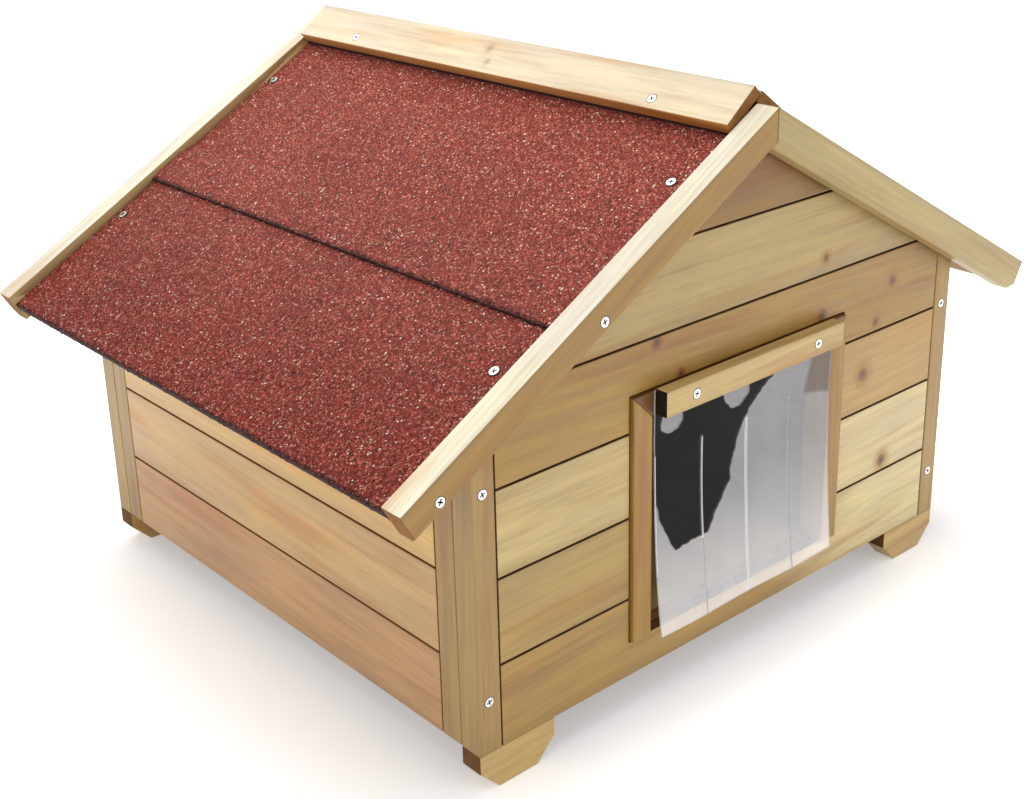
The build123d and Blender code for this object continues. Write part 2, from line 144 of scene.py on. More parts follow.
# Each node that the materials use: Blender's name, usual settings, sockets in the order that values are given in,
# and usual output
WAVE_SOCKETS = ("Vector", "Scale", "Distortion", "Detail", "Detail Scale", "Detail Roughness")
WAVE_TURN = tau / 20  # At scale 1 a wave texture turns by 20 radians in each metre.
YEAR_RINGS = {"wave_type": "RINGS", "rings_direction": "X", "wave_profile": "SAW"}
NODES = {
    "attribute": ("ShaderNodeAttribute", {}, (), "Vector"),
    "place": ("ShaderNodeTexCoord", {}, (), "Object"),
    "scale": ("ShaderNodeMapping", {}, ("Vector", "Scale"), "Vector"),
    "noise": ("ShaderNodeTexNoise", {}, ("Vector", "Scale", "Detail", "Roughness"), "Fac"),
    "rings": ("ShaderNodeTexWave", YEAR_RINGS, WAVE_SOCKETS, "Fac"),
    "bands": ("ShaderNodeTexWave", {"wave_type": "BANDS", "bands_direction": "X"}, WAVE_SOCKETS, "Fac"),
    "cells": ("ShaderNodeTexVoronoi", {}, ("Vector", "Scale"), "Distance"),
    "channels": ("ShaderNodeSeparateColor", {}, (0,), 0),
    "axes": ("ShaderNodeSeparateXYZ", {}, (0,), "Z"),
    "vector": ("ShaderNodeCombineXYZ", {}, (0, 1, 2), 0),
    "math": ("ShaderNodeMath", {}, (0, 1, 2), 0),
    "vector math": ("ShaderNodeVectorMath", {}, (0, 1, 2), "Vector"),
    "range": ("ShaderNodeMapRange", {"interpolation_type": "SMOOTHSTEP"}, (0, 1, 2, 3, 4), 0),
    "mix": ("ShaderNodeMix", {"data_type": "RGBA"}, (0, 6, 7), 2),
    "mix numbers": ("ShaderNodeMix", {"data_type": "FLOAT"}, (0, 2, 3), 0),
    "ramp": ("ShaderNodeValToRGB", {}, ("Fac",), "Color"),
    "bump": ("ShaderNodeBump", {}, ("Height", "Distance", "Strength"), "Normal"),
    "rays": ("ShaderNodeLightPath", {}, (), "Is Camera Ray"),
}


def linear(hex_colour):
    """Linear colour with full alpha from an sRGB hex value."""
    parts = [int(hex_colour[i:i + 2], 16) / 255 for i in (1, 3, 5)]
    return tuple(c / 12.92 if c <= 0.04045 else ((c + 0.055) / 1.055) ** 2.4 for c in parts) + (1.0,)


def fill(tree, node, values):
    """Sets sockets of a node to values or links them to other nodes."""
    for socket, value in values.items():
        if isinstance(value, bpy.types.NodeSocket):
            tree.links.new(value, node.inputs[socket])
        else:
            node.inputs[socket].default_value = value


def add_node(tree, kind, *values, output=None, stops=(), **settings):
    """Adds a node with its settings, values, links and colour stops, and gives one of its outputs."""
    blender_name, usual_settings, sockets, usual_output = NODES[kind]
    node = tree.nodes.new(blender_name)
    for name, value in {**usual_settings, **settings}.items():
        setattr(node, name, value)
    fill(tree, node, dict(zip(sockets, values)))
    if stops:
        elements = node.color_ramp.elements
        while len(elements) < len(stops):
            elements.new(0.5)
        for element, (position, colour) in zip(elements, stops):
            element.position = position
            element.color = linear(colour)
    return node.outputs[output or usual_output]


def new_material(name, values):
    """A material with one Principled shader, whose plain values are set on its own sockets."""
    material = bpy.data.materials.new(name)
    material.use_nodes = True
    tree = material.node_tree
    shader = tree.nodes["Principled BSDF"]
    fill(tree, shader, values)
    return material, tree, shader


def sum_of(tree, base, *parts):
    """A number plus each part less its middle, times the part's weight."""
    total = base
    for part, middle, weight in parts:
        centred = add_node(tree, "math", part, middle, operation="SUBTRACT")
        total = add_node(tree, "math", centred, weight, total, operation="MULTIPLY_ADD")
    return total


def toned(tree, colour, tone):
    """Colour times a number."""
    grey = add_node(tree, "vector", tone, tone, tone)
    return add_node(tree, "mix", 1.0, colour, grey, blend_type="MULTIPLY")


def tinted(tree, share, colour, tint):
    """Colour that takes a share of itself times a tint."""
    product = add_node(tree, "mix", 1.0, colour, linear(tint), blend_type="MULTIPLY")
    return add_node(tree, "mix", share, colour, product)


# Materials

def glazed_spruce(name, settings, knots=(), shade=None):
    """Planed spruce boards under a satin clear glaze: even honey colour, fine long fibres, soft year rings, faint
    glaze blotches along the grain, painted shade that darkens each board towards its long edges, a low sheen and,
    where a board has them, brown knots and a darker end."""
    material, tree, shader = new_material(name, {
        "IOR": 1.5, "Coat Weight": settings.glaze_gloss, "Coat Roughness": 0.3, "Coat IOR": 1.48})
    grain = add_node(tree, "attribute", attribute_name="grain")
    glaze = add_node(tree, "attribute", attribute_name="glaze", output="Color")

    # Year rings lie about the pith, whose place and tilt are in the grain attribute.
    squeezed = add_node(tree, "scale", grain, (0.05, 1, 1))
    rings = add_node(tree, "rings", squeezed, WAVE_TURN / settings.ring_spacing, 5.0, 2.0, 0.5, 0.5)
    late_wood = add_node(tree, "range", rings, 0.35, 1.0)

    # Noise drawn out along the grain, as a scale along it and one across it, detail and roughness. The fibres are
    # 29 mm long, the streaks 200 by 8 mm, the blotches 110 by 38 mm, the lines 70 by 2.4 mm, the runs 250 by 22 mm.
    across = 1 / settings.fibre_width
    fibres, streaks, blotches, lines, runs = (
        add_node(tree, "noise", add_node(tree, "scale", grain, (along, width, width)), 1.0, detail, roughness)
        for along, width, detail, roughness in (
            (35, across, 3.0, 0.5), (5, 120, 4.0, 0.65), (9, 26, 4.0, 0.6), (14, 420, 2.0, 0.6), (4, 45, 3.0, 0.5)))
    # Painted shade: each board is darkened towards its long edges, by the joints, with the blotches ragging the band.
    breadth = add_node(tree, "attribute", attribute_name="breadth", output="Fac")
    rim = add_node(tree, "math", breadth, operation="ABSOLUTE")
    rim = add_node(tree, "range", sum_of(tree, rim, (blotches, 0.5, 0.4)), 0.66, 1.05)
    tone = sum_of(
        tree, 1.08, (late_wood, 0.5, -0.06), (fibres, 0.5, 0.12), (lines, 0.5, 0.25), (streaks, 0.5, 0.7),
        (blotches, 0.5, 0.8), (rim, 0.0, -0.17))
    colour = toned(tree, glaze, tone)
    warm = sum_of(tree, 0.5, (streaks, 0.5, -1.2), (lines, 0.5, -0.8))
    colour = tinted(tree, add_node(tree, "range", warm, 0.4, 1.1, 0.0, 0.6), colour, "#f2cf98")
    colour = tinted(tree, add_node(tree, "range", runs, 0.5, 0.72, 0.0, 0.75), colour, "#ebc48a")
    colour = tinted(tree, add_node(tree, "range", blotches, 0.35, 0.7, 0.0, 0.35), colour, "#eef2c0")

    place = add_node(tree, "place")
    if shade:
        x = add_node(tree, "axes", place, output="X")
        dark = add_node(tree, "range", sum_of(tree, x, (streaks, 0.5, 0.08)), *shade, 1.0, 0.0)
        colour = tinted(tree, dark, colour, "#c2a876")
    for centre, flat, radius, strength in knots:
        away = add_node(tree, "vector math", place, centre, operation="SUBTRACT")
        away = add_node(tree, "vector math", away, flat, operation="MULTIPLY")
        distance = add_node(tree, "vector math", away, operation="LENGTH", output="Value")
        distance = sum_of(tree, distance, (add_node(tree, "noise", place, 160), 0.5, radius * 0.7))
        for start, end, weight, tint in KNOT_RINGS:
            spot = add_node(tree, "range", distance, radius * start, radius * end, weight * strength, 0.0)
            colour = add_node(tree, "mix", spot, colour, linear(tint))
    relief = sum_of(tree, 0.0, (fibres, 0.5, 0.6), (late_wood, 0.5, 0.8))
    fill(tree, shader, {
        "Base Color": colour,
        "Roughness": sum_of(tree, 0.5, (streaks, 0.5, 0.25), (late_wood, 0.5, -0.08)),
        "Normal": add_node(tree, "bump", relief, 0.00012)})
    return material


def sawn_end_grain(name, settings):
    """Sawn ends of the same spruce, which drink the glaze: darker, browner and dull, with close year rings,
    saw marks and grey-brown blotches."""
    material, tree, shader = new_material(name, {"IOR": 1.5, "Specular IOR Level": 0.25})
    grain = add_node(tree, "attribute", attribute_name="grain")
    glaze = add_node(tree, "attribute", attribute_name="glaze", output="Color")
    rings = add_node(tree, "rings", grain, WAVE_TURN / (settings.ring_spacing * 0.5), 1.5, 2.0, 1.0)
    pores = add_node(tree, "noise", grain, 900)  # 1.1 mm wide, drawn coarse so that they show
    blotches = add_node(tree, "noise", grain, 120, 3.0)  # 8 mm wide
    relief = sum_of(tree, 0.0, (pores, 0.5, 1.0), (rings, 0.5, 0.6))
    fill(tree, shader, {
        "Base Color": toned(
            tree, glaze, sum_of(tree, 1.0, (rings, 0.5, -0.3), (pores, 0.5, 0.5), (blotches, 0.5, 1.1))),
        "Roughness": sum_of(tree, 0.72, (pores, 0.5, 0.2)),
        "Normal": add_node(tree, "bump", relief, 0.0003)})
    return material


def painted_joint_shade(name, tint):
    """Painted shade on the faces inside the joints of the boards: dark brown, dull and streaky."""
    material, tree, shader = new_material(name, {"Roughness": 0.7, "IOR": 1.5})
    grain = add_node(tree, "attribute", attribute_name="grain")
    runs = add_node(tree, "noise", add_node(tree, "scale", grain, (60, 700, 700)), 1.0, 3.0)  # 17 by 1.4 mm
    pale = add_node(tree, "mix", 0.35, linear(tint), linear("#b08850"))
    fill(tree, shader, {
        "Base Color": add_node(tree, "mix", add_node(tree, "range", runs, 0.4, 0.75), linear(tint), pale),
        "Normal": add_node(tree, "bump", runs, 0.0002)})
    return material


def mineral_felt(name, settings):
    """Bitumen felt rolled with crushed mineral: each granule has its own colour, most brick red, some pink, a few
    white and some nearly black, with a rough relief that throws small shadows. Up the slope it is painted lighter and
    paler, as painted light, and along each course's lower edge it is painted darker, as painted shade."""
    material, tree, shader = new_material(name, {"IOR": 1.5, "Specular IOR Level": 0.15})
    place = add_node(tree, "place")
    stir = add_node(tree, "noise", place, 500.0, 2.0, output="Color")
    stirred = add_node(tree, "vector math", stir, (0.0012,) * 3, place, operation="MULTIPLY_ADD")
    distance = add_node(tree, "cells", stirred, 1 / settings.granule_size)
    pick = add_node(tree, "channels", distance.node.outputs["Color"]).node.outputs
    granules = add_node(tree, "ramp", pick[0], stops=[
        (0.0, "#4a1713"), (0.06, "#66201a"), (0.24, "#802d23"), (0.46, "#92362b"), (0.68, "#a84a3d"),
        (0.83, "#be6a55"), (0.95, "#d49e87"), (0.99, "#f0eadd")])
    granules.node.color_ramp.interpolation = "CONSTANT"
    drift = add_node(tree, "noise", place, 14, 4.0, 0.65)  # 70 mm wide
    height = add_node(tree, "axes", place)
    # Painted light: the felt is lighter and paler up the slope, where more light falls.
    painted_upslope_light = add_node(tree, "range", height, 0.2, 0.38)
    colour = toned(tree, granules, sum_of(tree, 1.34, (drift, 0.5, 0.7), (painted_upslope_light, 0.5, 0.4)))
    painted_upslope_pale = add_node(tree, "range", height, 0.22, 0.3, 0.0, 0.04)
    colour = add_node(tree, "mix", painted_upslope_pale, colour, linear("#ffd0c0"))
    gaps = add_node(tree, "range", distance, 0.5, 0.9, 0.0, 0.7)
    colour = add_node(tree, "mix", gaps, colour, linear("#2a0f0e"))
    # Painted shade: the felt's top is darkened along each course's lower cut edge.
    edge = add_node(tree, "attribute", attribute_name="edge", output="Fac")
    painted_edge_shade = add_node(tree, "range", sum_of(tree, edge, (pick[2], 0.5, 0.5)), 0.3, 0.8, 0.0, 0.9)
    domes = add_node(tree, "range", distance, 0.0, 0.9, 1.0, 0.0)
    relief = sum_of(tree, domes, (pick[2], 0.5, 0.9))
    fill(tree, shader, {
        "Base Color": add_node(tree, "mix", painted_edge_shade, colour, linear("#2c1212")),
        "Roughness": sum_of(tree, 0.7, (pick[1], 0.5, 0.5)),
        "Normal": add_node(tree, "bump", relief, settings.granule_size)})
    return material


def cut_bitumen(name):
    """Cut edge and underside of the felt: black bitumen with a brown cast, dull, with crumbs of red mineral."""
    material, tree, shader = new_material(name, {"Roughness": 0.8, "IOR": 1.6, "Specular IOR Level": 0.2})
    crumbs = add_node(tree, "noise", add_node(tree, "place"), 700, 2.0)  # 1.4 mm wide
    fill(tree, shader, {
        "Base Color": add_node(tree, "ramp", crumbs, stops=[(0.45, "#120c0c"), (0.6, "#351a19"), (0.72, "#6e3330")]),
        "Normal": add_node(tree, "bump", crumbs, 0.0006)})
    return material


def sanded_plywood(name):
    """Sanded softwood plywood of the deck and the floor: pale, dull, with broad soft figure and fine fibres."""
    material, tree, shader = new_material(name, {"Roughness": 0.7, "IOR": 1.5})
    place = add_node(tree, "place")
    figure = add_node(tree, "bands", add_node(tree, "scale", place, (1, 0.08, 1)), 7.0, 14.0, 3.0, 0.4)
    fibres = add_node(tree, "noise", add_node(tree, "scale", place, (1100, 40, 1100)), 1.0, 3.0)  # 25 by 0.9 mm
    mix = sum_of(tree, 0.5, (figure, 0.5, 0.25), (fibres, 0.5, 0.8))
    fill(tree, shader, {
        "Base Color": add_node(tree, "ramp", mix, stops=[(0.1, "#9f7c4c"), (0.5, "#bb9a68"), (0.9, "#cdb084")]),
        "Normal": add_node(tree, "bump", fibres, 0.0002)})
    return material


def clear_pvc(name, settings):
    """Plasticised clear PVC sheet: smooth and slightly grey, with a milky bloom and a painted glow, giving off light
    though it is no lamp. In one patch it is painted near black and mostly opaque, as painted reflection and painted
    shade of the dark inside of the shelter, and painted highlights run as white lines along the slits' edges."""
    material, tree, shader = new_material(name, {
        "Roughness": 0.12, "IOR": 1.53, "Specular IOR Level": 0.08, "Emission Strength": settings.painted_bloom_glow})
    sheet = add_node(tree, "attribute", attribute_name="sheet")
    wander = add_node(tree, "noise", sheet, 75.0, 4.0, 0.6, output="Color")
    moved = add_node(tree, "vector math", wander, (-0.5,) * 3, operation="ADD")
    moved = add_node(tree, "vector math", moved, (0.008, 0.0, 0.008), sheet, operation="MULTIPLY_ADD")
    # Painted reflection and painted shade: left of the patch's lines and outside the bloom spots, the sheet is near
    # black and mostly opaque.
    clear = region(tree, moved, PAINTED_DARK_PATCH, 0.0006, BLOOM_SPOTS)
    grey = region(tree, sheet, GREY_PATCH, 0.002)
    clouds = add_node(tree, "noise", add_node(tree, "scale", sheet, (1, 1, 0.45)), 22, 3.0, 0.6)  # 45 mm wide
    low = add_node(tree, "range", add_node(tree, "axes", sheet), 0.05, 0.16, 1.0, 0.0)
    bloom = sum_of(tree, settings.bloom, (clouds, 0.5, 0.1), (low, 0.5, 0.05))
    alpha = add_node(tree, "mix numbers", clear, bloom, 0.75)
    colour = add_node(tree, "mix", low, settings.tint, linear("#ffffff"))
    colour = add_node(tree, "mix", grey, colour, linear("#aba5a2"))
    colour = add_node(tree, "mix", clear, colour, linear("#0a0a0c"))
    # Painted highlights: white, nearly opaque lines along the slits' edges.
    for lines in PAINTED_HIGHLIGHT_LINES:
        white = region(tree, sheet, lines, 0.0003)
        alpha = add_node(tree, "mix numbers", white, alpha, 0.9)
        colour = add_node(tree, "mix", white, colour, linear("#ffffff"))
    waves = add_node(tree, "noise", sheet, 18)
    # Painted glow: the sheet gives off its own colour as light, though it is no lamp.
    fill(tree, shader, {
        "Alpha": alpha, "Base Color": colour, "Emission Color": colour,
        "Normal": add_node(tree, "bump", waves, 0.001, 0.5)})
    return material


def region(tree, place, lines, soft, spots=()):
    """1 to the left of every line and outside every spot, 0 elsewhere."""
    share = 1.0
    for (x, z), (next_x, next_z) in lines:
        inward = Vector((z - next_z, 0, next_x - x)).normalized()
        away = add_node(tree, "vector math", place, (x, 0, z), operation="SUBTRACT")
        side = add_node(tree, "vector math", away, inward, operation="DOT_PRODUCT", output="Value")
        share = add_node(tree, "math", add_node(tree, "range", side, -soft, soft), share, operation="MULTIPLY")
    for x, z, radius in spots:
        away = add_node(tree, "vector math", place, (x, 0, z), operation="DISTANCE", output="Value")
        outside = add_node(tree, "range", away, radius - soft, radius + soft)
        share = add_node(tree, "math", outside, share, operation="MULTIPLY")
    return share


def cut_pvc_edge(name):
    """Knife-cut edge of the PVC sheet: a little frosted, and painted white as a painted highlight where it gathers
    light.
    """
    material, tree, shader = new_material(name, {"Roughness": 0.35, "IOR": 1.53, "Alpha": 0.8})
    nicks = add_node(tree, "noise", add_node(tree, "attribute", attribute_name="sheet"), 900)
    fill(tree, shader, {"Base Color": add_node(tree, "ramp", nicks, stops=[(0.3, "#b9babd"), (0.6, "#f2f3f4")])})
    return material


def uncut_pvc(name):
    """Where the band runs on into a strip without a cut: nothing is seen there."""
    return new_material(name, {"Alpha": 0.0, "IOR": 1.0})[0]


def bright_zinc(name):
    """Bright zinc plate on a pressed steel screw: silver with faint blue-white clouds and fine scratches."""
    material, tree, shader = new_material(name, {"Metallic": 1.0})
    place = add_node(tree, "place")
    clouds = add_node(tree, "noise", place, 350, 3.0)  # 2.9 mm wide
    scratches = add_node(tree, "noise", place, 1800, 2.0)  # 0.6 mm wide
    fill(tree, shader, {
        "Base Color": add_node(tree, "ramp", clouds, stops=[(0.3, "#c9cacb"), (0.65, "#f1f1ef")]),
        "Roughness": sum_of(tree, 0.4, (clouds, 0.5, 0.25)),
        "Normal": add_node(tree, "bump", scratches, 0.00005)})
    return material


def painted_recess_and_rim_shade(name):
    """Painted shade in the screw's cross recess and on the sloped rim of its head: black, flecked a little lighter."""
    material, tree, shader = new_material(name, {"Roughness": 0.75, "IOR": 1.5})
    shade_flecks = add_node(tree, "noise", add_node(tree, "place"), 1500)  # 0.7 mm wide
    fill(tree, shader, {"Base Color": add_node(tree, "ramp", shade_flecks, stops=[(0.35, "#050506"), (0.7, "#1a1919")])})
    return material


def seamless_floor(name, settings):
    """White seamless paper under the shelter: a soft shadow falls on it near the body, and away from there it
    glows until it is plain white in the picture."""
    material, tree, shader = new_material(name, {
        "Roughness": 0.9, "Specular IOR Level": 0.0, "Emission Color": (1, 1, 1, 1)})
    place = add_node(tree, "place")
    tooth = add_node(tree, "noise", place, 300)  # 3.3 mm wide, drawn coarse so that it shows

    # Distance from the ground that the shadow lies on, which is 0.6 by 0.48 m
    outside = add_node(tree, "vector math", place, (0.06, -0.03, 0), operation="ADD")
    outside = add_node(tree, "vector math", outside, operation="ABSOLUTE")
    outside = add_node(tree, "vector math", outside, (0.3, 0.24, 0), operation="SUBTRACT")
    outside = add_node(tree, "vector math", outside, operation="MAXIMUM")
    outside = add_node(tree, "vector math", outside, operation="LENGTH", output="Value")
    lift = add_node(tree, "range", outside, 0.0, 0.2, settings.floor_lift, 1.0)
    fill(tree, shader, {
        "Base Color": add_node(tree, "mix", tooth, settings.floor_colour, linear("#ededee")),
        "Emission Strength": add_node(tree, "math", seen_by_camera(tree), lift, operation="MULTIPLY")})
    return material


def seen_by_camera(tree):
    """1 for what the camera sees, also in a reflection or through glass, and 0 for the light that falls on things."""
    seen = add_node(tree, "rays")
    rays = seen.node.outputs
    for kind in ("Is Glossy Ray", "Is Transmission Ray"):
        seen = add_node(tree, "math", seen, rays[kind], operation="MAXIMUM")
    return seen


_materials = {}


def finish_of(key, make, *values):
    """The material of that key, made once."""
    if key not in _materials:
        _materials[key] = make(key, *values)
    return _materials[key]


# Shapes

def cad_shape(node):
    """Merged copy of a CAD node's mesh, with its flat faces joined."""
    shape = bmesh.new()
    shape.from_mesh(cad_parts[node].data)
    bmesh.ops.remove_doubles(shape, verts=shape.verts, dist=1e-6)
    bmesh.ops.dissolve_limit(shape, angle_limit=radians(1), verts=shape.verts, edges=shape.edges)
    return shape


def add_piece(name, shape, materials, nodes, body=SHELTER):
    """Makes an object of a shape, lets it ride on its body, if it has one, and stand for its CAD nodes."""
    mesh = bpy.data.meshes.new(name)
    shape.to_mesh(mesh)
    shape.free()
    for material in materials:
        mesh.materials.append(material)
    piece = bpy.data.objects.new(name, mesh)
    bpy.context.scene.collection.objects.link(piece)
    if body:
        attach(piece, body)
    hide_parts(*nodes)
    return piece


def slope_point(side, run, lift):
    """Point in the XZ plane, at a run down one slope from the ridge and a lift square to the slope."""
    out = run * cos(PITCH) + lift * sin(PITCH)
    return Vector((side * out, 0, RIDGE_Z - run * sin(PITCH) + lift * cos(PITCH)))


def slope_down(side):
    """Direction down one slope."""
    return Vector((side * cos(PITCH), 0, -sin(PITCH)))


def slope_up(side):
    """Direction square to one slope, away from the roof."""
    return Vector((side * sin(PITCH), 0, cos(PITCH)))


def dress_wood(
        node, along, across, glaze, ends="#8f6030", top=None, knots=(), shade=None, joints=None):
    """Rounds the arrises of one wooden node, lays its grain and glazes its faces: the broad ones, the sawn ends, the
    ones that face the sky, which take the top colour as painted light where one is given, and the ones inside a joint,
    which take painted shade."""
    settings = bpy.context.scene.shelter_wood
    shape = cad_shape(node)
    shape.normal_update()
    sharp = [
        e for e in shape.edges
        if len(e.link_faces) == 2 and e.calc_face_angle(0) > SHARPEST_LEFT and e.calc_length() > SHORTEST_ROUNDED
    ]
    bmesh.ops.bevel(
        shape, geom=sharp, offset=settings.arris, offset_type="OFFSET", segments=2, profile=0.5, affect="EDGES",
        clamp_overlap=True, material=-1)
    shape.normal_update()
    depth = along.cross(across)
    colours = []
    for face in shape.faces:
        # Faces inside a joint take painted shade; given a top colour, faces that face the sky take it as painted
        # light.
        is_end = abs(face.normal.dot(along)) > 0.8
        in_joint = joints and abs(face.normal.dot(depth)) < 0.6
        face.material_index = 2 if in_joint else 1 if is_end else 0
        takes_painted_top_light = top and face.normal.z > 0.6
        colours += linear(ends if is_end else top if takes_painted_top_light else glaze)
    chance = random.Random(node)
    centre = sum((v.co for v in shape.verts), Vector()) / len(shape.verts)
    pith = Vector((chance.uniform(0, 9), chance.uniform(-0.03, 0.03), chance.uniform(0.03, 0.07)))
    lean_across, lean_depth = chance.uniform(-0.04, 0.04), chance.uniform(-0.04, 0.04)
    half = max(abs((v.co - centre).dot(across)) for v in shape.verts)
    grain, breadth = [], []
    for vertex in shape.verts:
        at = vertex.co - centre
        run, off = at.dot(along), at.dot(across)
        breadth.append(off / half)
        grain += [run + pith.x, off + pith.y + run * lean_across, at.dot(depth) + pith.z + run * lean_depth]
    own = "_" + node if knots or shade else ""
    wood = finish_of("glazed_spruce" + own, glazed_spruce, settings, knots, shade)
    sawn = finish_of("sawn_end_grain", sawn_end_grain, settings)
    joints = joints or FRONT_JOINT_SHADE
    joint = finish_of("painted_joint_shade_" + joints[1:], painted_joint_shade, joints)
    piece = add_piece("planed_" + node, shape, [wood, sawn, joint], [node])
    piece.data.attributes.new("grain", "FLOAT_VECTOR", "POINT").data.foreach_set("vector", grain)
    piece.data.attributes.new("breadth", "FLOAT", "POINT").data.foreach_set("value", breadth)
    piece.data.attributes.new("glaze", "FLOAT_COLOR", "FACE").data.foreach_set("color", colours)
    return piece


# Settings

class ShelterWoodSettings(bpy.types.PropertyGroup):
    """Sizes and sheen of the glazed wood."""
    arris: bpy.props.FloatProperty(
        name="Arris", description="How far the edges of the boards are rounded", default=0.0007, min=0.0001,
        max=0.003, unit="LENGTH")
    ring_spacing: bpy.props.FloatProperty(
        name="Year rings", description="Distance between year rings", default=0.0042, min=0.001, max=0.02,
        unit="LENGTH")
    fibre_width: bpy.props.FloatProperty(
        name="Fibre width", description="Width of the fine fibres, drawn a little coarse so that they show",
        default=0.0009, min=0.0002, max=0.005, unit="LENGTH")
    glaze_gloss: bpy.props.FloatProperty(
        name="Glaze", description="How much clear glaze lies on the wood", default=0.3, min=0.0, max=1.0,
        subtype="FACTOR")


class ShelterFeltSettings(bpy.types.PropertyGroup):
    """Sizes of the roofing felt."""
    granule_size: bpy.props.FloatProperty(
        name="Granule", description="Size of the mineral granules", default=0.00105, min=0.0005, max=0.005,
        unit="LENGTH")
    cell_size: bpy.props.FloatProperty(
        name="Relief", description="Spacing of the felt's uneven surface", default=0.0026, min=0.001, max=0.02,
        unit="LENGTH")
    roughness: bpy.props.FloatProperty(
        name="Unevenness", description="Height of the felt's uneven surface", default=0.0005, min=0.0, max=0.002,
        unit="LENGTH")


class ShelterFlapSettings(bpy.types.PropertyGroup):
    """Look and bend of the clear strips."""
    tint: bpy.props.FloatVectorProperty(
        name="Tint", description="Colour of the sheet", default=linear("#dddee2"), size=4, min=0.0, max=1.0,
        subtype="COLOR")
    bloom: bpy.props.FloatProperty(
        name="Bloom", description="How milky the sheet is", default=0.235, min=0.0, max=1.0, subtype="FACTOR")
    # Painted glow of the sheet, which gives off light though it is no lamp.
    painted_bloom_glow: bpy.props.FloatProperty(
        name="Bloom glow", description="Light that the bloom scatters through the sheet", default=0.45, min=0.0,
        max=1.0)
    bend_length: bpy.props.FloatProperty(
        name="Bend", description="Length of a strip that bends when it swings", default=0.045, min=0.005, max=0.1,
        unit="LENGTH")


class ShelterStageSettings(bpy.types.PropertyGroup):
    """Floor and lamps."""
    floor_colour: bpy.props.FloatVectorProperty(
        name="Floor", description="Colour of the floor", default=linear("#f6f6f6"), size=4, min=0.0, max=1.0,
        subtype="COLOR")
    floor_lift: bpy.props.FloatProperty(
        name="Floor lift", description="How much the floor is brightened in the picture", default=0.3, min=0.0,
        max=1.0)
    lamp_level: bpy.props.FloatProperty(
        name="Lamps", description="Level of all lamps", default=1.0, min=0.0, max=5.0)


# Operators

# Colours of the painted shade inside the joints, and of the glazed boards
FRONT_JOINT_SHADE, SIDE_JOINT_SHADE = "#4c2e16", "#8a5c32"
WALL_GLAZE = {
    "left_board_1": "#b68a5d", "left_board_2": "#c39d68", "left_board_3": "#cea769", "left_board_4": "#ccaa74",
    "front_board_1": "#e2ce9b", "front_board_2_left": "#af9155", "front_board_2_right": "#dfc999",
    "front_board_3_left": "#c9b07a", "front_board_3_right": "#c0995c", "front_board_4": "#a8833f",
    # front_board_6, and the rear board that copies it, is drawn darker as painted shade under the barge boards.
    "front_board_5": "#b69c66", "front_board_6": "#916c2f",
}
# Axes along which the distance from a knot is measured, on the front and on a ridge board; then each knot's
# place and radius
FLAT_FRONT = (1, 0, 1)
FLAT_RIDGE = (1, 1, 0)
KNOTS = {
    "front_board_4": (
        ((0.1649, 0, 0.2439), 0.0042), ((0.1471, 0, 0.2157), 0.0032), ((-0.0848, 0, 0.2638), 0.0046),
        ((-0.0621, 0, 0.2361), 0.0034), ((0.0831, 0, 0.2379), 0.0040)),
    "front_board_3_right": (((0.1351, 0, 0.1771), 0.0045),),
    "front_board_2_right": (((0.1655, 0, 0.0974), 0.0038),),
    "front_board_5": (((0.0842, 0, 0.2797), 0.0025),),
}


KNOT_SPREAD, KNOT_STRENGTH = 1.15, 1.2
RIDGE_KNOTS = (
    ((-0.010, 0.011, 0.405), FLAT_RIDGE, 0.0032, 0.4),
    ((-0.019, 0.004, 0.395), FLAT_RIDGE, 0.0022, 0.4),
)
STOCK_GLAZE = {"door_jamb": "#a67f36", "side_cleats": "#b39764", "_cleats": "#aa894e", "_stile_": "#aa894e"}


class SHELTER_OT_wall_boards(bpy.types.Operator):
    """Dress the tongued and grooved boards of the four walls"""
    bl_idname = "shelter.wall_boards"
    bl_label = "Wall boards"

    def execute(self, context):
        for node in sorted(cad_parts):
            if "_board_" not in node or node.startswith("ridge"):
                continue
            gable = node.startswith(("front", "rear"))
            twin = node.replace("rear", "front").replace("right_board", "left_board")
            glaze = WALL_GLAZE.get(node, WALL_GLAZE.get(twin, "#c2a06c"))
            knots = [
                (centre, FLAT_FRONT, radius * KNOT_SPREAD, KNOT_STRENGTH) for centre, radius in KNOTS.get(node, ())
            ]
            shade = (0.03, 0.15) if twin == "front_board_1" else None
            joints = FRONT_JOINT_SHADE if gable else SIDE_JOINT_SHADE
            dress_wood(node, X if gable else Y, Z, glaze, knots=knots, shade=shade, joints=joints)
        return {"FINISHED"}


class SHELTER_OT_frame_stock(bpy.types.Operator):
    """Dress the stiles, the cleats, the door frame and the batten"""
    bl_idname = "shelter.frame_stock"
    bl_label = "Stiles, cleats and door frame"

    def execute(self, context):
        for node in sorted(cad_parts):
            glaze = next((glaze for part, glaze in STOCK_GLAZE.items() if part in node), None)
            if glaze:
                dress_wood(node, Z, X, glaze)
        dress_wood("door_head", X, Z, "#714b19")
        # The batten's ends are nearly black, painted shade, and its face towards the sky takes the top colour as
        # painted light.
        dress_wood("flap_batten", X, Z, "#c9ac74", ends="#160c05", top="#c9ad78")
        return {"FINISHED"}


